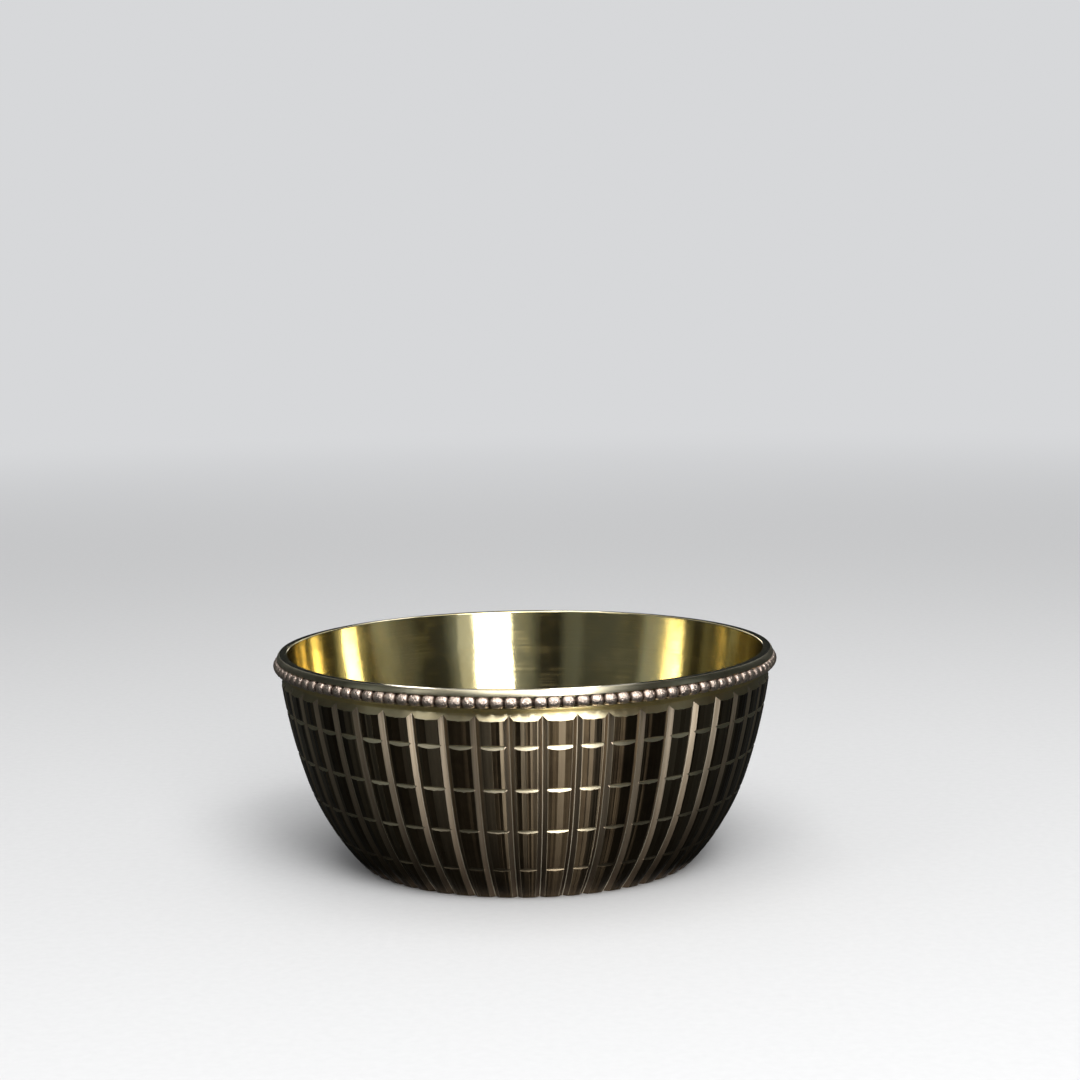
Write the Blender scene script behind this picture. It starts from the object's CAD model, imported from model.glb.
import math

import bpy
import numpy as np
from mathutils import Matrix, Vector


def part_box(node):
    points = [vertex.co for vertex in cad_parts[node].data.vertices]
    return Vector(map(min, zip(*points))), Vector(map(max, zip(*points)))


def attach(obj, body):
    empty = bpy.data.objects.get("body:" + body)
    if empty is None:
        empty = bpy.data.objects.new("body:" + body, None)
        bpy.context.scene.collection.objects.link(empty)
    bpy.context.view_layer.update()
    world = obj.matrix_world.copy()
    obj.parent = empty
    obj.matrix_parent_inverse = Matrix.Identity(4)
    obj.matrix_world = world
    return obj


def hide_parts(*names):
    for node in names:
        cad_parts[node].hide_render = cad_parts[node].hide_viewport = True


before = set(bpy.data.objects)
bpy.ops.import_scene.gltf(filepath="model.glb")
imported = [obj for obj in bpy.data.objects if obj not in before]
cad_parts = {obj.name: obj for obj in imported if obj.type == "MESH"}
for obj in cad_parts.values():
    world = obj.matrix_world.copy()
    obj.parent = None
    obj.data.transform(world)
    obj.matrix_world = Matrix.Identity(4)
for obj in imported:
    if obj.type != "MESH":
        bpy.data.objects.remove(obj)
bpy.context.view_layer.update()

# The cup
# One piece of pale brass, turned inside and out on a lathe. Upright V valleys are milled up its
# wall, and four narrow V grooves are turned across the panels between them. The inside is
# polished to a mirror, and the outside is left from the cutter and has darkened.
MM = 0.001
cup_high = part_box("bowl_shell")[1]
wire_low, wire_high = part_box("beaded_wire")
bowl_h = cup_high.z / MM
wall_top_r = cup_high.x / MM
bead_r = (wire_high.z - wire_low.z) / MM / 2
wire_z = (wire_high.z + wire_low.z) / MM / 2
wire_back = 1.0
foot_r = 36.5
wall_t = 2.2
floor_h = 3.2
floor_fillet_r = 9
inner_edge_r = 0.3
standing_ring_w = 5
foot_hollow_depth = 0.8
foot_chamfer = 0.35
panel_count = 49
valley_w = 2.0
valley_depth = 0.85
groove_heights = [7.4, 16.6, 25.8, 35.0]
groove_depth = 0.35
groove_lower_drop = 1.4
groove_upper_rise = 0.26
seat_gap = 0.03
neck_h = 1.2
ledge_t = 0.25
shoulder_h = 1.5

spigot_r = wire_high.x / MM - bead_r - wire_back
ledge_z = wire_z - bead_r - seat_gap
neck_z = ledge_z - neck_h
shoulder_z = neck_z - shoulder_h
cove_r = neck_h - ledge_t
neck_r = wall_top_r - cove_r

# The wall is two tangent arcs. Their leans from upright at the top, at their joint and at the foot
# are shares of the lean of the straight line from the foot to the shoulder.
lean_shares = (0.375, 0.826, 1.951)
chord_lean = math.atan2(wall_top_r - foot_r, shoulder_z)
top_lean, joint_lean, foot_lean = (share * chord_lean for share in lean_shares)
low_run = math.cos(joint_lean) - math.cos(foot_lean)
low_rise = math.sin(foot_lean) - math.sin(joint_lean)
high_run = math.cos(top_lean) - math.cos(joint_lean)
high_rise = math.sin(joint_lean) - math.sin(top_lean)
arc_det = low_run * high_rise - high_run * low_rise
low_arc_r = ((wall_top_r - foot_r) * high_rise - high_run * shoulder_z) / arc_det
high_arc_r = (low_run * shoulder_z - low_rise * (wall_top_r - foot_r)) / arc_det
low_centre = (foot_r - low_arc_r * math.cos(foot_lean), low_arc_r * math.sin(foot_lean))
high_centre = (
    wall_top_r - high_arc_r * math.cos(top_lean),
    shoulder_z + high_arc_r * math.sin(top_lean),
)
joint_z = low_centre[1] - low_arc_r * math.sin(joint_lean)
inner_joint_z = low_centre[1] - (low_arc_r - wall_t) * math.sin(joint_lean)


def wall_radius(z, depth=0.0):
    """Radius of the wall at a height, or of the surface that lies that deep in it."""
    low_reach = np.maximum((low_arc_r - depth) ** 2 - (low_centre[1] - z) ** 2, 0)
    high_reach = (high_arc_r - depth) ** 2 - (high_centre[1] - z) ** 2
    low = low_centre[0] + np.sqrt(low_reach)
    high = high_centre[0] + np.sqrt(high_reach)
    return np.where(z < joint_z, low, high)


def bore_radius(z):
    """Radius of the polished inside at a height above the fillet round its floor."""
    high_up = z > inner_joint_z
    centre, arc_r = (high_centre, high_arc_r) if high_up else (low_centre, low_arc_r)
    return centre[0] + math.sqrt((arc_r - wall_t) ** 2 - (centre[1] - z) ** 2)


def groove_radius(z):
    """Radius to which the turned grooves cut at a height."""
    cut = np.full(np.shape(z), np.inf)
    for height in groove_heights:
        corner = wall_radius(height) - groove_depth
        above = corner + (z - height) * groove_depth / groove_upper_rise
        below = corner + (height - z) * groove_depth / groove_lower_drop
        cut = np.minimum(cut, np.where(z > height, above, below))
    return cut


def rim_cut_radius(z):
    """Radius to which the neck's cove, the cone under it and the foot's chamfer cut."""
    cone = neck_r + cove_r * (neck_z - z) / shoulder_h
    cove = wall_top_r - np.sqrt(np.maximum(cove_r**2 - (z - neck_z) ** 2, 0))
    cut = np.where(z < neck_z, cone, cove)
    low = foot_r - foot_chamfer
    high = foot_r + foot_chamfer * math.sin(foot_lean)
    chamfer = low + (high - low) * z / (foot_chamfer * math.cos(foot_lean))
    return np.minimum(cut, chamfer)


# Columns of points run up the bottom and the two flanks of each valley and over each panel, which
# bows a little. The valleys stand a little unevenly, as the cutter was set by eye.
face_bow = 0.16
flank_steps = 3
face_steps = 6
broken_edge = 0.05
bottom_half_w = 0.06
valley_scatter = math.radians(0.22)
scatter = np.random.default_rng(8)
pitch = 2 * math.pi / panel_count
valleys = (np.arange(panel_count + 1) + 0.5) * pitch
valleys[:-1] += scatter.uniform(-valley_scatter, valley_scatter, panel_count)
valleys[-1] = valleys[0] + 2 * math.pi
panel_columns = 2 * (flank_steps + 1) + face_steps + 1
columns = panel_count * panel_columns

# How deep the flanks' columns and then the panels' columns lie under the round of the wall
flank_shares = np.arange(flank_steps + 1) / flank_steps
face_shares = np.arange(face_steps + 1) / face_steps
flank_depths = valley_depth + (face_bow - valley_depth) * flank_shares
face_depths = face_bow * (2 * face_shares - 1) ** 2


def wall_row(z):
    """Azimuth, radius and distance from the nearest valley of the wall's columns at a height."""
    wall = float(wall_radius(z))
    half = valley_w / 2
    across = half * flank_shares
    across[0], across[-1] = bottom_half_w, half - broken_edge
    flank = wall_radius(z, flank_depths)
    turn = np.arctan2(across, flank)
    edge = (half + broken_edge) / wall
    left, right = valleys[:-1, None], valleys[1:, None]
    face = (left + edge) + (right - left - 2 * edge) * face_shares
    azimuth = np.hstack([left + turn, face, right - turn[::-1]])
    flank = np.hypot(flank, across) - half**2 / (2 * wall) * across / half
    radius = np.hstack([flank, wall_radius(z, face_depths), flank[::-1]])
    gap = np.minimum(azimuth - left, right - azimuth) * wall
    cut = np.minimum(groove_radius(z), rim_cut_radius(z))
    return azimuth.ravel(), np.minimum(np.tile(radius, panel_count), cut), gap.ravel()


crossing_samples = 400


def crossings(cut, z_from, z_to):
    """Heights at which a turned cut crosses the columns of the flanks and the panels."""
    z = np.linspace(z_from, z_to, crossing_samples)
    found = []
    for depth in [*flank_depths, *face_depths[1 : face_steps // 2 + 1]]:
        left = wall_radius(z, depth) - cut(z)
        for k in np.flatnonzero(np.diff(np.sign(left))):
            found.append(z[k] - left[k] * (z[k + 1] - z[k]) / (left[k + 1] - left[k]))
    return found


# Rows of points lie at each height where a cut starts, ends or turns, and at even steps between.
hair = 0.001
cone_lead = 0.2
least_row_h = 0.035
tallest_row_h = 1.6
features = [0.0, foot_chamfer * math.cos(foot_lean), shoulder_z, neck_z]
features += crossings(rim_cut_radius, hair, foot_chamfer)
features += crossings(rim_cut_radius, shoulder_z - cone_lead, neck_z)
for height in groove_heights:
    features += [height] + crossings(groove_radius, height - 2 * groove_lower_drop, height)
    features += crossings(groove_radius, height, height + 2 * groove_upper_rise)
features = sorted(features)
wall_heights = [features[0]]
for height in features[1:]:
    rise = height - wall_heights[-1]
    if rise < least_row_h:
        continue
    row_count = max(1, round(rise / tallest_row_h))
    wall_heights += list(np.linspace(wall_heights[-1], height, row_count + 1)[1:])

# Each ring of points is azimuths, radii, heights and distances from the nearest valley.
far_from_valleys = 9.0
rings = []


def plain_ring(radius, z, azimuths):
    """Adds a ring that the valleys don't cut."""
    same = [np.full(columns, float(value)) for value in (radius, z, far_from_valleys)]
    rings.append((azimuths, *same))


foot_azimuths = wall_row(0.0)[0]
top_azimuths = wall_row(shoulder_z)[0]
even_azimuths = valleys[0] + np.arange(columns) * 2 * math.pi / columns
hollow_r = foot_r - standing_ring_w
for radius in (hollow_r / 3, hollow_r * 2 / 3, hollow_r - foot_hollow_depth):
    plain_ring(radius, foot_hollow_depth, foot_azimuths)
plain_ring(hollow_r, 0, foot_azimuths)
underside_rings = len(rings)
for height in wall_heights:
    azimuths, radii, gaps = wall_row(height)
    rings.append((azimuths, radii, np.full(columns, height), gaps))
wall_end = len(rings) - 1
cove_steps = 10
for step in range(1, cove_steps + 1):
    turn = step / cove_steps * math.pi / 2
    cove_z = neck_z + cove_r * math.sin(turn)
    plain_ring(wall_top_r - cove_r * math.cos(turn), cove_z, top_azimuths)
cove_end = len(rings)
plain_ring(wall_top_r, ledge_z, top_azimuths)
plain_ring(spigot_r, ledge_z, top_azimuths)
plain_ring(spigot_r, bowl_h, even_azimuths)
inside_start = len(rings) - 1
edge_r = bore_radius(bowl_h) + inner_edge_r
edge_z = bowl_h - inner_edge_r
edge_steps = 8
for step in range(edge_steps + 1):
    turn = step / edge_steps * math.pi / 2
    ring_r = edge_r - inner_edge_r * math.sin(turn)
    plain_ring(ring_r, edge_z + inner_edge_r * math.cos(turn), even_azimuths)
fillet_z = floor_h + floor_fillet_r
fillet_reach = low_arc_r - wall_t - floor_fillet_r
fillet_x = low_centre[0] + math.sqrt(fillet_reach**2 - (low_centre[1] - fillet_z) ** 2)
fillet_lean = math.atan2(low_centre[1] - fillet_z, fillet_x - low_centre[0])
fillet_top_z = fillet_z - floor_fillet_r * math.sin(fillet_lean)
bore_steps = 14
for height in np.linspace(edge_z, fillet_top_z, bore_steps + 1)[1:]:
    plain_ring(bore_radius(height), height, even_azimuths)
fillet_steps = 8
for step in range(1, fillet_steps + 1):
    turn = fillet_lean + (math.pi / 2 - fillet_lean) * step / fillet_steps
    ring_r = fillet_x + floor_fillet_r * math.cos(turn)
    plain_ring(ring_r, fillet_z - floor_fillet_r * math.sin(turn), even_azimuths)
for share in (0.75, 0.5, 0.25, 0.08):
    plain_ring(fillet_x * share, floor_h, even_azimuths)


def ring_points(rings):
    """Points in metres of rings whose measures are in millimetres. Azimuth 0 is the front."""
    azimuth, radius, z = (np.concatenate([ring[k] for ring in rings]) for k in range(3))
    return np.column_stack([radius * np.sin(azimuth), -radius * np.cos(azimuth), z]) * MM


def ring_faces(ring_count, columns):
    """Quads between neighbouring rings of one turned surface, as rows of four points."""
    ring, column = np.meshgrid(np.arange(ring_count - 1), np.arange(columns), indexing="ij")
    here, above = ring * columns, (ring + 1) * columns
    after = (column + 1) % columns
    quads = np.stack([here + column, here + after, above + after, above + column], -1)
    return quads.reshape(-1, 4)


def make_piece(name, points, faces, materials=(), slots=None, smooth_to=8.0, marks=None):
    """A mesh piece. Edges that turn by more than smooth_to degrees stay crisp."""
    mesh = bpy.data.meshes.new(name)
    mesh.from_pydata(points, [], faces)
    for material in materials:
        mesh.materials.append(material)
    if slots is not None:
        mesh.polygons.foreach_set("material_index", np.asarray(slots, np.int32))
    mesh.polygons.foreach_set("use_smooth", np.ones(len(faces), bool))
    mesh.set_sharp_from_angle(angle=math.radians(smooth_to))
    for mark, values in (marks or {}).items():
        attribute = mesh.attributes.new(mark, "FLOAT", "POINT")
        attribute.data.foreach_set("value", np.asarray(values, np.float32))
    mesh.validate()
    piece = bpy.data.objects.new(name, mesh)
    bpy.context.scene.collection.objects.link(piece)
    return piece


def add(tree, kind, inputs=(), **settings):
    """A shader node with its settings. Each input takes a value or another node's output."""
    node = tree.nodes.new(kind)
    for name, value in settings.items():
        setattr(node, name, value)
    for name, value in dict(inputs).items():
        if isinstance(value, bpy.types.NodeSocket):
            tree.links.new(value, node.inputs[name])
        else:
            node.inputs[name].default_value = value
    return node


def arithmetic(tree, operation, *values):
    return add(tree, "ShaderNodeMath", enumerate(values), operation=operation).outputs[0]


def between(tree, value, low, high, to_low=0.0, to_high=1.0):
    """Takes a value from one range to another and stops at its ends."""
    inputs = {"Value": value, "From Min": low, "From Max": high}
    inputs |= {"To Min": to_low, "To Max": to_high}
    return add(tree, "ShaderNodeMapRange", inputs).outputs["Result"]


def blend_colours(tree, share, first, second):
    """The first colour at a share of 0 and the second at 1."""
    inputs = {0: share, 6: first, 7: second}
    return add(tree, "ShaderNodeMix", inputs, data_type="RGBA").outputs[2]


def join(tree, x, y, z=0.0):
    return add(tree, "ShaderNodeCombineXYZ", {0: x, 1: y, 2: z}).outputs[0]


def noise(tree, place, scale, detail, roughness=0.5):
    inputs = {"Vector": place, "Scale": scale, "Detail": detail, "Roughness": roughness}
    return add(tree, "ShaderNodeTexNoise", inputs).outputs[0]


def new_group(name, inputs, outputs):
    """An empty node group with inputs that have defaults, and its input and output sockets."""
    group = bpy.data.node_groups.new(name, "ShaderNodeTree")
    new_socket = group.interface.new_socket
    for socket, default in inputs.items():
        taken = new_socket(socket, in_out="INPUT", socket_type="NodeSocketFloat")
        taken.default_value = default
    for socket in outputs:
        new_socket(socket, in_out="OUTPUT", socket_type="NodeSocketFloat")
    given = group.nodes.new("NodeGroupInput").outputs
    return group, given, group.nodes.new("NodeGroupOutput").inputs


def in_millimetres(tree):
    """Across, along and up in millimetres, and the distance from the bowl's axis."""
    place = add(tree, "ShaderNodeTexCoord").outputs["Object"]
    inputs = {0: place, "Scale": 1 / MM}
    scaled = add(tree, "ShaderNodeVectorMath", inputs, operation="SCALE").outputs["Vector"]
    x, y, z = add(tree, "ShaderNodeSeparateXYZ", {0: scaled}).outputs
    x_square = arithmetic(tree, "MULTIPLY", x, x)
    y_square = arithmetic(tree, "MULTIPLY", y, y)
    radius = arithmetic(tree, "SQRT", arithmetic(tree, "ADD", x_square, y_square))
    return x, y, z, radius


# Turning marks are fine rings round the axis, as wide as the tool's feed. Most of their heights
# lie in the range of usual_marks.
usual_marks = (0.3, 0.7)
turning_marks, given, gives = new_group(
    "turning_marks", {"Feed": 0.4, "Break up": 0.3}, ["Height"]
)
x, y, z, radius = in_millimetres(turning_marks)
outwards = arithmetic(turning_marks, "DIVIDE", radius, given["Feed"])
upwards = arithmetic(turning_marks, "DIVIDE", z, given["Feed"])
lines = noise(turning_marks, join(turning_marks, outwards, upwards), 1.0, 3.0, 0.6)
patch = noise(turning_marks, join(turning_marks, x, y, z), 0.22, 2.0)
kept = between(turning_marks, patch, 0.35, 0.65, 0.35, 1.0)
faded = arithmetic(turning_marks, "MULTIPLY", lines, kept)
inputs = {0: given["Break up"], 2: lines, 3: faded}
mixed = add(turning_marks, "ShaderNodeMix", inputs, data_type="FLOAT").outputs[0]
turning_marks.links.new(mixed, gives["Height"])

# Upright streaks are soft bands up the wall, as a file or a cutter drawn along it leaves them.
upright_streaks, given, gives = new_group(
    "upright_streaks", {"Width": 1.0, "Length": 30.0}, ["Streaks"]
)
x, y, z, radius = in_millimetres(upright_streaks)
round_r = arithmetic(upright_streaks, "DIVIDE", wall_top_r, given["Width"])
sides = [arithmetic(upright_streaks, "DIVIDE", side, radius) for side in (x, y)]
sides = [arithmetic(upright_streaks, "MULTIPLY", side, round_r) for side in sides]
upwards = arithmetic(upright_streaks, "DIVIDE", z, given["Length"])
streaks = noise(upright_streaks, join(upright_streaks, *sides, upwards), 1.0, 3.0, 0.55)
upright_streaks.links.new(streaks, gives["Streaks"])

# Tarnish is a cloudy darkening, in patches of a given size.
tarnish, given, gives = new_group("tarnish", {"Size": 12.0, "Low": 0.4, "High": 0.65}, ["Cover"])
cloud_place = join(tarnish, *in_millimetres(tarnish)[:3])
cloud_scale = arithmetic(tarnish, "DIVIDE", 1.0, given["Size"])
clouds = noise(tarnish, cloud_place, cloud_scale, 5.0, 0.6)
tarnish.links.new(between(tarnish, clouds, given["Low"], given["High"]), gives["Cover"])


def use_group(tree, group, **values):
    """The outputs of a group placed in a material with its own values."""
    node = tree.nodes.new("ShaderNodeGroup")
    node.node_tree = group
    for name, value in values.items():
        node.inputs[name.replace("_", " ").capitalize()].default_value = value
    return node.outputs


def new_metal(name, roughness, spread=0.0):
    """A metal's material, tree and shader. Spread draws its gloss out across the lathe's marks."""
    material = bpy.data.materials.new(name)
    material.use_nodes = True
    tree = material.node_tree
    shader = tree.nodes["Principled BSDF"]
    shader.inputs["Metallic"].default_value = 1.0
    shader.inputs["Roughness"].default_value = roughness
    if spread:
        quarter_turn = 0.25
        shader.inputs["Anisotropic"].default_value = spread
        shader.inputs["Anisotropic Rotation"].default_value = quarter_turn
        tangent = add(tree, "ShaderNodeTangent", direction_type="RADIAL", axis="Z")
        tree.links.new(tangent.outputs[0], shader.inputs["Tangent"])
    return material, tree, shader


def drive(tree, shader, **outputs):
    for name, output in outputs.items():
        tree.links.new(output, shader.inputs[name.replace("_", " ")])


def raise_surface(tree, height, depth):
    """The normal of a surface that stands up by a height times a depth in millimetres."""
    inputs = {"Height": height, "Distance": depth * MM, "Strength": 1.0}
    return add(tree, "ShaderNodeBump", inputs).outputs["Normal"]


def turned_metal(name, roughness, spread, colours, clouds, feed, break_up, gloss, depth):
    """A metal as the lathe leaves it, in two colours.

    Clouds are the tarnish's size and limits, gloss is the roughness off the marks and on them,
    and depth is the marks' depth in millimetres.
    """
    material, tree, shader = new_metal(name, roughness, spread)
    size, low, high = clouds
    cover = use_group(tree, tarnish, size=size, low=low, high=high)["Cover"]
    marks = use_group(tree, turning_marks, feed=feed, break_up=break_up)["Height"]
    drive(
        tree,
        shader,
        Base_Color=blend_colours(tree, cover, *colours),
        Roughness=between(tree, marks, *usual_marks, *gloss),
        Normal=raise_surface(tree, marks, depth),
    )
    return material


brass_bright = (0.87, 0.755, 0.42, 1)
brass_deep = (0.77, 0.64, 0.32, 1)
fine_mark_depth = 0.0006
waviness = 0.03
mark_share = 0.04

polished_inside, tree, shader = new_metal("polished_inside", 0.16, 0.75)
cover = use_group(tree, tarnish, size=14.0, low=0.42, high=0.7)["Cover"]
marks = use_group(tree, turning_marks, feed=0.5, break_up=0.8)["Height"]
waves = use_group(tree, tarnish, size=16.0, low=0.2, high=0.8)["Cover"]
waves = arithmetic(tree, "ADD", waves, arithmetic(tree, "MULTIPLY", marks, mark_share))
drive(
    tree,
    shader,
    Base_Color=blend_colours(tree, cover, brass_bright, brass_deep),
    Roughness=between(tree, marks, *usual_marks, 0.1, 0.18),
    Normal=raise_surface(tree, waves, waviness),
)

rim_marks = {"clouds": (5.0, 0.35, 0.7), "feed": 0.22, "break_up": 0.5, "depth": fine_mark_depth}
turned_bright = turned_metal(
    "turned_bright",
    roughness=0.28,
    spread=0.9,
    colours=((0.92, 0.82, 0.54, 1), (0.8, 0.68, 0.42, 1)),
    gloss=(0.3, 0.42),
    **rim_marks,
)
turned_neck = turned_metal(
    "turned_neck",
    roughness=0.44,
    spread=0.95,
    colours=((0.95, 0.8, 0.42, 1), (0.82, 0.65, 0.29, 1)),
    gloss=(0.34, 0.46),
    **rim_marks,
)

# The grooves are bright where hands and cloths reach them, and dull near the foot.
groove_dull_z, groove_bright_z = 6.0, 30.0
groove_bright = (0.95, 0.84, 0.6, 1)
groove_dull = (0.22, 0.17, 0.11, 1)
turned_groove, tree, shader = new_metal("turned_groove", 0.3, 0.9)
height_up = in_millimetres(tree)[2]
marks = use_group(tree, turning_marks, feed=0.22, break_up=0.5)["Height"]
dull = between(tree, height_up, groove_dull_z, groove_bright_z, 1.0, 0.0)
drive(
    tree,
    shader,
    Base_Color=blend_colours(tree, dull, groove_bright, groove_dull),
    Roughness=between(tree, marks, *usual_marks, 0.34, 0.46),
    Normal=raise_surface(tree, marks, fine_mark_depth),
)

# Hands and cloths keep the upper wall brighter, and tarnish deepens towards the foot.
low_tarnish, given, gives = new_group("low_tarnish", {"From": 4.0, "To": 34.0}, ["Clean"])
height_up = in_millimetres(low_tarnish)[2]
clean = between(low_tarnish, height_up, given["From"], given["To"])
low_tarnish.links.new(clean, gives["Clean"])

# Facets are flat upright strips of uneven width, each tilted its own way, round a panel.
upright_facets, given, gives = new_group("upright_facets", {"Width": 1.2}, ["Height", "Strip"])
turn = arithmetic(upright_facets, "ARCTAN2", *in_millimetres(upright_facets)[:2])
round_wall = arithmetic(upright_facets, "MULTIPLY", turn, wall_top_r)
strip_place = arithmetic(upright_facets, "DIVIDE", round_wall, given["Width"])
inputs = {"W": strip_place, "Scale": 1.0}
cells = add(upright_facets, "ShaderNodeTexVoronoi", inputs, voronoi_dimensions="1D").outputs
own = add(upright_facets, "ShaderNodeSeparateXYZ", {0: cells["Color"]}).outputs
tilted = arithmetic(upright_facets, "MULTIPLY", cells["Distance"], own[0])
upright_facets.links.new(tilted, gives["Height"])
upright_facets.links.new(own[1], gives["Strip"])


def mesh_mark(tree, name):
    """A value that the mesh carries at each point."""
    return add(tree, "ShaderNodeAttribute", attribute_name=name).outputs["Fac"]


flank_metal = (0.56, 0.46, 0.34, 1)
flank_grime = (0.38, 0.3, 0.21, 1)
flank_low = (0.14, 0.1, 0.066, 1)
flank_bottom = (0.7, 0.62, 0.48, 1)
chatter_depth = 0.006
milled_flank, tree, shader = new_metal("milled_flank", 0.46, 0.85)
chatter = use_group(tree, turning_marks, feed=0.35, break_up=0.2)["Height"]
streaks = use_group(tree, upright_streaks, width=0.5, length=25.0)["Streaks"]
clean = use_group(tree, low_tarnish)["Clean"]
grime = between(tree, streaks, 0.35, 0.65)
milled = blend_colours(tree, grime, flank_metal, flank_grime)
milled = blend_colours(tree, clean, flank_low, milled)
bottom_line = between(tree, mesh_mark(tree, "valley_gap"), 0.07, 0.15, 1.0, 0.0)
drive(
    tree,
    shader,
    Base_Color=blend_colours(tree, bottom_line, milled, flank_bottom),
    Roughness=between(tree, chatter, *usual_marks, 0.41, 0.51),
    Normal=raise_surface(tree, chatter, chatter_depth),
)

panel_dark = (0.11, 0.078, 0.045, 1)
panel_darkest = (0.07, 0.048, 0.028, 1)
panel_strip = (0.32, 0.25, 0.165, 1)
panel_edge = (0.5, 0.42, 0.3, 1)
edge_from_valley = (1.03, 1.12)
facet_depth = 0.2
streak_share = 0.35
panel_face, tree, shader = new_metal("panel_face", 0.43, 0.98)
streaks = use_group(tree, upright_streaks, width=0.8, length=60.0)["Streaks"]
facets = use_group(tree, upright_facets, width=1.3)
rings_cut = use_group(tree, turning_marks, feed=0.3, break_up=0.5)["Height"]
cover = use_group(tree, tarnish, size=9.0, low=0.4, high=0.62)["Cover"]
clean = use_group(tree, low_tarnish)["Clean"]
lift = arithmetic(tree, "MULTIPLY", between(tree, facets["Strip"], 0.5, 0.8), clean)
dark = blend_colours(tree, cover, panel_dark, panel_darkest)
streaked = blend_colours(tree, lift, dark, panel_strip)
near_edge = between(tree, mesh_mark(tree, "valley_gap"), *edge_from_valley, 1.0, 0.0)
worn_edge = arithmetic(tree, "MULTIPLY", near_edge, streaks)
streak_height = arithmetic(tree, "MULTIPLY", streaks, streak_share)
shape = arithmetic(tree, "ADD", facets["Height"], streak_height)
drive(
    tree,
    shader,
    Base_Color=blend_colours(tree, worn_edge, streaked, panel_edge),
    Roughness=between(tree, rings_cut, *usual_marks, 0.38, 0.48),
    Normal=raise_surface(tree, shape, facet_depth),
)

under_bright = (0.55, 0.44, 0.27, 1)
under_dark = (0.3, 0.22, 0.13, 1)
under_mark_depth = 0.01
under_face, tree, shader = new_metal("under_face", 0.35, 0.5)
marks = use_group(tree, turning_marks, feed=0.6, break_up=0.3)["Height"]
cover = use_group(tree, tarnish, size=10.0)["Cover"]
drive(
    tree,
    shader,
    Base_Color=blend_colours(tree, cover, under_bright, under_dark),
    Normal=raise_surface(tree, marks, under_mark_depth),
)

cup_points = ring_points(rings)
quads = ring_faces(len(rings), columns)
under_pole, floor_pole = len(cup_points), len(cup_points) + 1
cup_points = np.vstack([cup_points, [[0, 0, foot_hollow_depth * MM], [0, 0, floor_h * MM]]])
gaps = np.concatenate([ring[3] for ring in rings] + [[far_from_valleys, far_from_valleys]])

# Each quad has the finish that its tool leaves, by its number in the list of the cup's finishes.
# Where a turned cut made all the points of a face, the cut's finish takes the plain one's place.
INSIDE, TURNED, FLANK, FACE, UNDER, GROOVE, NECK = range(7)
finishes = [polished_inside, turned_bright, milled_flank, panel_face, under_face]
finishes += [turned_groove, turned_neck]
touching = 0.003
grooves_end_z = shoulder_z - 0.5
radius_of = np.hypot(cup_points[:, 0], cup_points[:, 1]) / MM
height_of = cup_points[:, 2] / MM
row_of = np.repeat(np.arange(len(rings) - 1), columns)
column_of = np.tile(np.arange(columns), len(rings) - 1) % panel_columns
cut_radius_of = np.minimum(groove_radius(height_of), rim_cut_radius(height_of))
on_cut = np.abs(radius_of - cut_radius_of) < touching
on_flank = (column_of < flank_steps) | (column_of >= panel_columns - flank_steps - 1)
on_wall = (row_of >= underside_rings) & (row_of < wall_end)
in_groove = on_wall & (height_of[quads].mean(1) < grooves_end_z)
plain_finish = np.where(row_of < inside_start, TURNED, INSIDE)
plain_finish[row_of < underside_rings] = UNDER
plain_finish[(row_of >= wall_end) & (row_of < cove_end)] = NECK
cut_finish = np.where(in_groove, GROOVE, plain_finish)
plain_finish[on_wall] = np.where(on_flank, FLANK, FACE)[on_wall]

# A quad on the wall is split along its higher diagonal, so that the arrises of crossing cuts
# stay sharp.
level_enough = 0.002
first_way = radius_of[quads[:, 0]] + radius_of[quads[:, 2]]
other_way = radius_of[quads[:, 1]] + radius_of[quads[:, 3]]
split = on_wall & (np.abs(first_way - other_way) > level_enough)
faces, slots = [], []
for quad, plain, turned, cut, higher in zip(
    quads.tolist(), plain_finish, cut_finish, split, first_way > other_way
):
    a, b, c, d = quad
    pieces = [quad]
    if cut:
        pieces = [(a, b, c), (a, c, d)] if higher else [(a, b, d), (b, c, d)]
    for piece in pieces:
        faces.append(piece)
        slots.append(turned if on_cut[list(piece)].all() else plain)
last = (len(rings) - 1) * columns
for column in range(columns):
    after = (column + 1) % columns
    faces += [(under_pole, after, column), (floor_pole, last + column, last + after)]
    slots += [UNDER, INSIDE]
cup = make_piece("cup", cup_points, faces, finishes, slots, marks={"valley_gap": gaps})
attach(cup, "root")
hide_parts("bowl_shell")

# The beaded wire
# Round brass wire rolled between dies into a string of barrel-shaped beads, bent into a ring and
# brazed shut. It sits on the ledge with its flattened back against the spigot. It is left rough,
# and dirt fills its gaps.
wire_r = wire_high.x / MM - bead_r
wire_core_r = 0.72
bead_count = 120
bead_swell = 3.1
bead_length_share = 0.97
size_scatter = 0.025
place_scatter = 0.05
shape_scatter = 0.12
flattening = 0.02
oval_share = 8
oval_turn = 9
steps_along = 13
steps_round = 24
flat_back = spigot_r + seat_gap - wire_r
bead_scatter = np.random.default_rng(21)
shrink = bead_scatter.uniform(0.0, size_scatter, bead_count)
shift = bead_scatter.uniform(-place_scatter, place_scatter, bead_count)
lean = bead_scatter.uniform(-shape_scatter, shape_scatter, (bead_count, 3))
end_to_end = np.linspace(-math.pi / 2, math.pi / 2, steps_along)
run_along = np.sign(end_to_end) * np.abs(np.sin(end_to_end)) ** (2 / bead_swell)
share_along = bead_length_share * run_along
swell = np.maximum(np.cos(end_to_end), 0) ** (2 / bead_swell)
section_turn = np.arange(steps_round) * 2 * math.pi / steps_round
wire_rings, fullnesses = [], []
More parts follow.
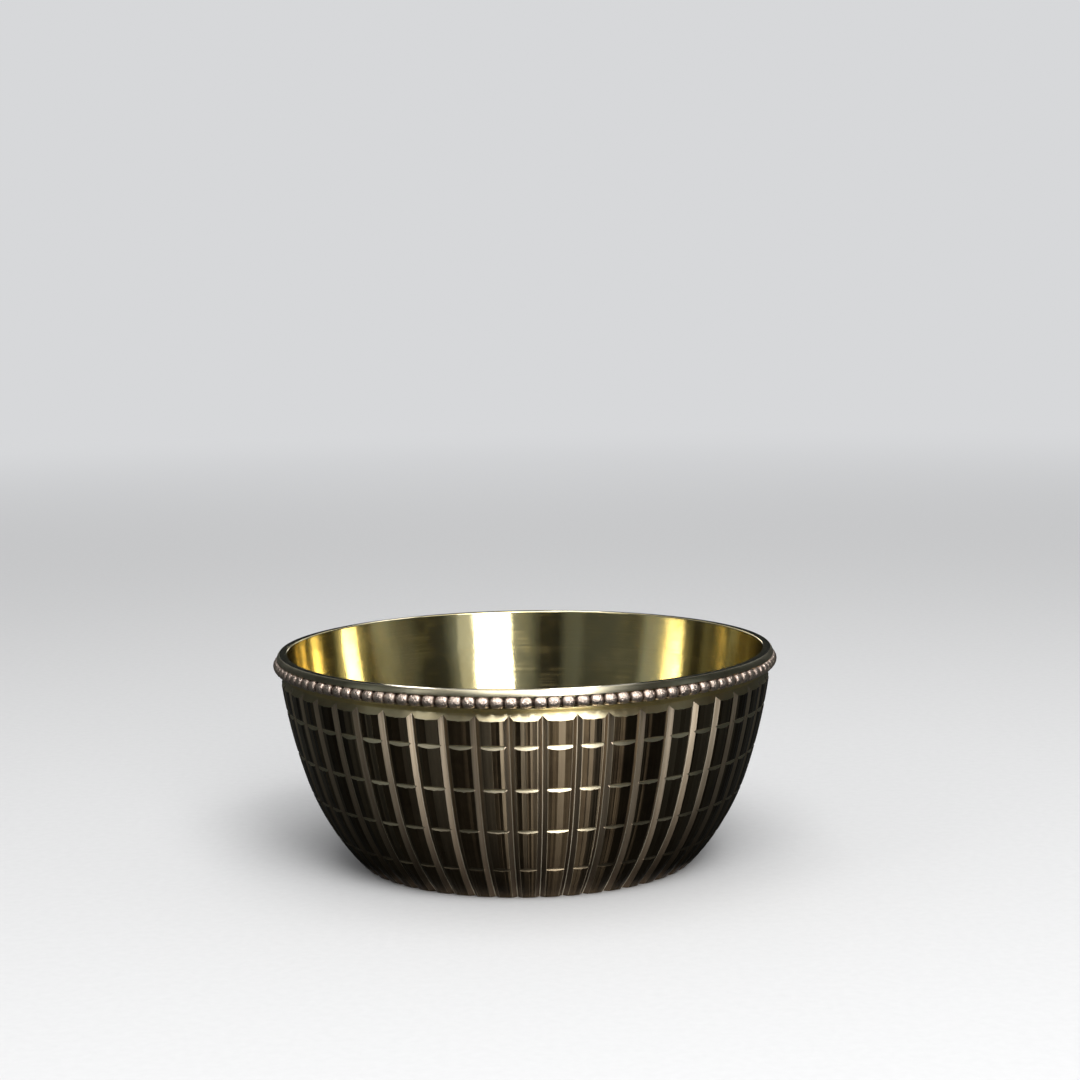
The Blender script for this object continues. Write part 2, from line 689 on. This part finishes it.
for bead in range(bead_count):
    oval = oval_share * lean[bead, 0] * np.cos(2 * section_turn + oval_turn * lean[bead, 1])
    for along_share, fullness in zip(share_along, swell):
        size = max(wire_core_r, bead_r * (1 - shrink[bead]) * fullness)
        place = bead + 0.5 * along_share + shift[bead] * fullness
        azimuth = np.full(steps_round, place * 2 * math.pi / bead_count)
        uneven = size * (1 - flattening * fullness * (1 + oval * along_share) / 2)
        out = np.maximum(uneven * np.cos(section_turn), flat_back)
        wire_rings.append((azimuth, wire_r + out, wire_z + uneven * np.sin(section_turn)))
        fullnesses.append(np.full(steps_round, size / bead_r))
wire_points = ring_points(wire_rings)
wire_faces = ring_faces(len(wire_rings) + 1, steps_round)[:, [0, 3, 2, 1]] % len(wire_points)

# Pits are the small rough hollows of a rolled and cast-like surface.
pits, given, gives = new_group("pits", {"Size": 0.4}, ["Height", "Dirt"])
pit_place = join(pits, *in_millimetres(pits)[:3])
pit_scale = arithmetic(pits, "DIVIDE", 1.0, given["Size"])
lumps = noise(pits, pit_place, pit_scale, 4.0, 0.65)
inputs = {"Vector": pit_place, "Scale": pit_scale}
hollows = add(pits, "ShaderNodeTexVoronoi", inputs).outputs["Distance"]
half_hollows = arithmetic(pits, "MULTIPLY", hollows, 0.5)
pits.links.new(arithmetic(pits, "ADD", lumps, half_hollows), gives["Height"])
pits.links.new(between(pits, lumps, 0.4, 0.6), gives["Dirt"])

gap_dirt = (0.08, 0.055, 0.042, 1)
bead_metal = (0.95, 0.77, 0.65, 1)
pit_depth = 0.17
proud_fullness = (0.66, 0.86)
dirt_in_pits = 0.65
rolled_beads, tree, shader = new_metal("rolled_beads", 0.3)
rough = use_group(tree, pits, size=0.4)
proud = between(tree, mesh_mark(tree, "fullness"), *proud_fullness)
clear_of_dirt = between(tree, rough["Dirt"], 0.0, 1.0, 1.0, dirt_in_pits)
pitted = between(tree, rough["Dirt"], 0.0, 1.0, 0.26, 0.42)
duller_in_gaps = between(tree, proud, 0.0, 1.0, 0.3, 0.0)
worn = arithmetic(tree, "MULTIPLY", proud, clear_of_dirt)
drive(
    tree,
    shader,
    Base_Color=blend_colours(tree, worn, gap_dirt, bead_metal),
    Roughness=arithmetic(tree, "ADD", pitted, duller_in_gaps),
    Normal=raise_surface(tree, rough["Height"], pit_depth),
)
beads = make_piece(
    "beads",
    wire_points,
    wire_faces.tolist(),
    [rolled_beads],
    smooth_to=60.0,
    marks={"fullness": np.concatenate(fullnesses)},
)
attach(beads, "root")
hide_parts("beaded_wire")

# The lip
# A turned ring with a rounded outer face, pushed over the spigot and brazed down on the wire. Its
# top is turned flush with the spigot and polished with the inside, so the seam doesn't show.
lip_low, lip_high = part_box("lip_ring")
lip_under_z = lip_low.z / MM
lip_h = bowl_h - lip_under_z
lip_low_r = lip_high.x / MM
lip_top_inset = 0.6
lip_top_r = lip_low_r - lip_top_inset
lip_face_r = 1.6
lip_arris_r = 0.1
lip_columns = 360
lip_face_steps = 12
lip_arris_steps = 6
half_chord = math.hypot(lip_top_inset, lip_h) / 2
arc_back = math.sqrt(lip_face_r**2 - half_chord**2)
lip_lean = math.atan2(lip_top_inset, lip_h)
face_centre = (
    (lip_top_r + lip_low_r) / 2 - arc_back * math.cos(lip_lean),
    (lip_under_z + bowl_h) / 2 - arc_back * math.sin(lip_lean),
)
face_from = math.atan2(lip_under_z - face_centre[1], lip_low_r - face_centre[0])
face_to = math.atan2(bowl_h - lip_arris_r - face_centre[1], lip_top_r - face_centre[0])


def on_arc(centre, radius, turn):
    return centre[0] + radius * math.cos(turn), centre[1] + radius * math.sin(turn)


lip_profile = [(spigot_r, lip_under_z)]
for step in range(lip_face_steps + 1):
    turn = face_from + (face_to - face_from) * step / lip_face_steps
    lip_profile.append(on_arc(face_centre, lip_face_r, turn))
arris_centre = on_arc(lip_profile[-1], -lip_arris_r, face_to)
for step in range(1, lip_arris_steps + 1):
    turn = face_to + (math.pi / 2 - face_to) * step / lip_arris_steps
    arris_r, arris_z = on_arc(arris_centre, lip_arris_r, turn)
    lip_profile.append((arris_r, min(bowl_h, arris_z)))

# The profile is drawn up to end level with the spigot.
lip_rise = bowl_h - lip_profile[-1][1]
stretch = lip_rise / (lip_h - lip_rise)
lip_profile = [(r, z + stretch * (z - lip_under_z)) for r, z in lip_profile]
lip_profile.append((spigot_r, bowl_h))
lip_azimuths = np.arange(lip_columns) * 2 * math.pi / lip_columns
lip_rings = [
    (lip_azimuths, np.full(lip_columns, r), np.full(lip_columns, z)) for r, z in lip_profile
]
lip_points = ring_points(lip_rings)
lip_faces = ring_faces(len(lip_rings) + 1, lip_columns) % len(lip_points)

lip_clouds = (6.0, 0.4, 0.68)
polished_lip = turned_metal(
    "polished_lip",
    roughness=0.13,
    spread=0.4,
    colours=((0.82, 0.74, 0.52, 1), (0.62, 0.53, 0.35, 1)),
    clouds=lip_clouds,
    feed=0.3,
    break_up=0.6,
    gloss=(0.06, 0.12),
    depth=fine_mark_depth,
)
turned_lip = turned_metal(
    "turned_lip",
    roughness=0.25,
    spread=0.9,
    colours=((0.84, 0.77, 0.56, 1), (0.66, 0.58, 0.4, 1)),
    clouds=lip_clouds,
    feed=0.25,
    break_up=0.5,
    gloss=(0.32, 0.44),
    depth=0.0008,
)
polished_rows = 4
turned_faces = (len(lip_rings) - polished_rows) * lip_columns
lip_slots = (np.arange(len(lip_faces)) < turned_faces).astype(int)
lip_finishes = [polished_lip, turned_lip]
lip = make_piece("lip", lip_points, lip_faces.tolist(), lip_finishes, lip_slots, smooth_to=20.0)
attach(lip, "root")
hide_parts("lip_ring")

# The brazing
# Two thin rings of brazing metal in the corners behind the wire, where it was fed as wire and
# melted. It is paler than the brass and a little lumpy.
braze_pale = (0.74, 0.66, 0.48, 1)
braze_dirt = (0.5, 0.42, 0.28, 1)
lump_depth = 0.05
brazing, tree, shader = new_metal("brazing", 0.34)
lumpy = use_group(tree, pits, size=1.1)
drive(
    tree,
    shader,
    Base_Color=blend_colours(tree, lumpy["Dirt"], braze_pale, braze_dirt),
    Roughness=between(tree, lumpy["Dirt"], 0.0, 1.0, 0.26, 0.44),
    Normal=raise_surface(tree, lumpy["Height"], lump_depth),
)
for name in ("lower_braze_ring", "upper_braze_ring"):
    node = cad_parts[name]
    node.data.materials.clear()
    node.data.materials.append(brazing)

# The studio
# A pale floor that runs on into a pale surround, and soft lamps. Cloths hang round the bowl, and
# one lies on the floor, that only the metal sees.
pale_surround = (0.97, 0.98, 1.0, 1)
surround_strength = 0.7
world_strength = 0.42
floor_r = 6.0
floor_sides = 64
floor_ends_from, floor_ends_to = 250.0, 1300.0
paper_dark = (0.66, 0.66, 0.66, 1)
paper_light = (0.7, 0.7, 0.7, 1)


def level_ring(radius, height):
    """A level ring of points round the bowl's axis, in metres."""
    turns = np.arange(floor_sides) * 2 * math.pi / floor_sides
    heights = np.full(floor_sides, height)
    return np.column_stack([radius * np.cos(turns), radius * np.sin(turns), heights])


floor_paper = bpy.data.materials.new("floor_paper")
floor_paper.use_nodes = True
tree = floor_paper.node_tree
shader = tree.nodes["Principled BSDF"]
shader.inputs["Roughness"].default_value = 0.8
shader.inputs["Specular IOR Level"].default_value = 0.2
fibres = use_group(tree, tarnish, size=2.0, low=0.2, high=0.8)["Cover"]
drive(tree, shader, Base_Color=blend_colours(tree, fibres, paper_dark, paper_light))
inputs = {"Value": in_millimetres(tree)[3]}
inputs |= {"From Min": floor_ends_from, "From Max": floor_ends_to}
far_off = add(tree, "ShaderNodeMapRange", inputs, interpolation_type="SMOOTHSTEP").outputs["Result"]
inputs = {"Color": pale_surround, "Strength": surround_strength}
surround_glow = add(tree, "ShaderNodeEmission", inputs).outputs[0]
inputs = {0: far_off, 1: shader.outputs[0], 2: surround_glow}
runs_on = add(tree, "ShaderNodeMixShader", inputs).outputs[0]
tree.links.new(runs_on, tree.nodes["Material Output"].inputs["Surface"])
paper = make_piece("floor", level_ring(floor_r, 0.0), [list(range(floor_sides))], [floor_paper])


def around(azimuth, elevation, distance):
    """A place round the bowl's middle, in metres. Azimuth 0 is the front and grows to the right."""
    a, e = math.radians(azimuth), math.radians(elevation)
    way = Vector((math.sin(a) * math.cos(e), -math.cos(a) * math.cos(e), math.sin(e)))
    return Vector((0, 0, bowl_h * MM / 2)) + way * distance


def softbox(name, azimuth, elevation, distance, width, height, radiance):
    """A soft lamp that faces the bowl, unseen by the camera."""
    lamp = bpy.data.lights.new(name, "AREA")
    lamp.shape = "RECTANGLE"
    lamp.size, lamp.size_y = width, height
    lamp.energy = radiance * math.pi * width * height
    lamp_object = bpy.data.objects.new(name, lamp)
    lamp_object.location = around(azimuth, elevation, distance)
    back = lamp_object.location - around(0, 0, 0)
    lamp_object.rotation_euler = back.to_track_quat("Z", "Y").to_euler()
    lamp_object.visible_camera = False
    bpy.context.scene.collection.objects.link(lamp_object)


softbox("tall_front_lamp", 17, 28, 1.0, width=0.353, height=0.95, radiance=6.0)
softbox("side_glow_lamp", 30.5, 24, 1.0, width=0.18, height=0.85, radiance=0.3)
softbox("wide_front_lamp", 10, 53, 1.1, width=0.85, height=0.38, radiance=5.8)
softbox("front_left_lamp", -52, 34, 1.0, width=0.2, height=0.3, radiance=1.9)
softbox("top_lamp", 0, 88, 1.2, width=0.9, height=0.9, radiance=1.6)
softbox("narrow_back_lamp", 184.3, 16, 1.04, width=0.026, height=0.17, radiance=4.0)
softbox("back_lamp", 178.2, 16, 1.04, width=0.032, height=0.17, radiance=4.0)
softbox("wide_back_lamp", 180, 16, 1.05, width=0.15, height=0.17, radiance=0.5)


def only_for_metal(cloth):
    """Leaves a cloth to be seen in the metal alone, so that it takes no light off the floor."""
    cloth.visible_camera = False
    cloth.visible_diffuse = False
    cloth.visible_shadow = False


cloth_black = (0, 0, 0, 1)
cloth_white = (0.92, 1, 0.98, 1)


def dull_cloth(name):
    """A cloth's material with no gloss, as light or dark as its mesh says at each place."""
    cloth = bpy.data.materials.new(name)
    cloth.use_nodes = True
    tree = cloth.node_tree
    shader = tree.nodes["Principled BSDF"]
    shade = mesh_mark(tree, "shade")
    drive(tree, shader, Base_Color=blend_colours(tree, shade, cloth_black, cloth_white))
    shader.inputs["Roughness"].default_value = 1.0
    shader.inputs["Specular IOR Level"].default_value = 0.0
    return cloth


def hang_cloth(name, shades, low, high, distance=1.5):
    """A cloth hung round the bowl. Its shade runs evenly from each azimuth listed to the next."""
    first, last = shades[0][0], shades[-1][0]
    azimuths = np.linspace(first, last, 2 * round(last - first) + 1)
    shade = np.interp(azimuths, *zip(*shades))
    feet = [around(azimuth, 0, distance) for azimuth in azimuths]
    points = [(foot.x, foot.y, height) for foot in feet for height in (low, high)]
    quads = [(2 * k, 2 * k + 2, 2 * k + 3, 2 * k + 1) for k in range(len(feet) - 1)]
    marks = {"shade": np.repeat(shade, 2)}
    only_for_metal(make_piece(name, points, quads, [dull_cloth(name)], marks=marks))


front_shades = [(-150, 0.04), (-85, 0.04), (-82, 0.4), (-67, 0.35), (-62, 0.09), (-33, 0.09)]
front_shades += [(-28, 0.17), (-22, 0.14), (-18, 0.02), (-9, 0.02), (-6, 0.1), (-3, 0.2)]
front_shades += [(4, 0.3), (26, 0.4), (36, 0.3), (43, 0.05), (50, 0.03), (56, 0.03), (62, 0.1)]
front_shades += [(67, 0.13), (77, 0.3), (84, 0.3), (87, 0.04), (150, 0.04)]
upper_shades = [(-150, 0.03), (-60, 0.03), (-50, 0.35), (-42, 0.35), (-34, 0.2), (-16, 0.2)]
upper_shades += [(-6, 0.35), (24, 0.35), (32, 0.2), (48, 0.15), (60, 0.03), (150, 0.03)]
back_shades = [(150, 0.03), (210, 0.03)]
front_cloth_top = 1.3
hang_cloth("front_cloth", front_shades, 0.0, front_cloth_top)
hang_cloth("upper_cloth", upper_shades, front_cloth_top, 4.2)
hang_cloth("back_cloth", back_shades, 0.0, 0.5)

# The cloth on the floor lies in a ring round the bowl's foot.
floor_cloth_lift = 0.05 * MM
floor_cloth_hole_r = 38 * MM
floor_cloth_r = 1.45
floor_cloth_shade = 0.035
floor_rings = np.vstack(
    [level_ring(radius, floor_cloth_lift) for radius in (floor_cloth_hole_r, floor_cloth_r)]
)
floor_cloth = make_piece(
    "floor_cloth",
    floor_rings,
    ring_faces(2, floor_sides).tolist(),
    [dull_cloth("floor_cloth")],
    marks={"shade": np.full(len(floor_rings), floor_cloth_shade)},
)
only_for_metal(floor_cloth)

# The camera, glossy and clear surfaces see the pale surround, which lights the bowl less.
world = bpy.data.worlds.new("surround")
bpy.context.scene.world = world
world.use_nodes = True
tree = world.node_tree
tree.nodes.clear()
path = add(tree, "ShaderNodeLightPath").outputs
seen = arithmetic(tree, "MAXIMUM", path["Is Camera Ray"], path["Is Glossy Ray"])
seen = arithmetic(tree, "MAXIMUM", seen, path["Is Transmission Ray"])
strength = between(tree, seen, 0.0, 1.0, world_strength, surround_strength)
pale = add(tree, "ShaderNodeBackground", {"Color": pale_surround, "Strength": strength})
add(tree, "ShaderNodeOutputWorld", {"Surface": pale.outputs[0]})

# The camera stands where the photograph was taken from: above the rim, looking down a little,
# turned slightly to the right and tipped by less than a degree.
camera_distance = 0.5313
camera_elevation = math.degrees(0.2056)
camera_pitch, camera_turn, camera_roll = 0.1181, 0.0071, -0.0156
camera = bpy.data.cameras.new("camera")
camera.lens = 80.0
camera.sensor_width = 36.0
camera.clip_start = 0.01
camera.clip_end = 60.0
camera_object = bpy.data.objects.new("camera", camera)
bpy.context.scene.collection.objects.link(camera_object)
bpy.context.scene.camera = camera_object
forward = Vector(
    (
        math.sin(camera_turn) * math.cos(camera_pitch),
        math.cos(camera_turn) * math.cos(camera_pitch),
        -math.sin(camera_pitch),
    )
)
right = forward.cross(Vector((0, 0, 1))).normalized()
above = right.cross(forward)
rolled_right = right * math.cos(camera_roll) + above * math.sin(camera_roll)
rolled_above = above * math.cos(camera_roll) - right * math.sin(camera_roll)
axes = Matrix((rolled_right, rolled_above, -forward)).transposed().to_4x4()
stand = around(0, camera_elevation, camera_distance)
camera_object.matrix_world = Matrix.Translation(stand) @ axes
bpy.context.scene.view_settings.view_transform = "Standard"
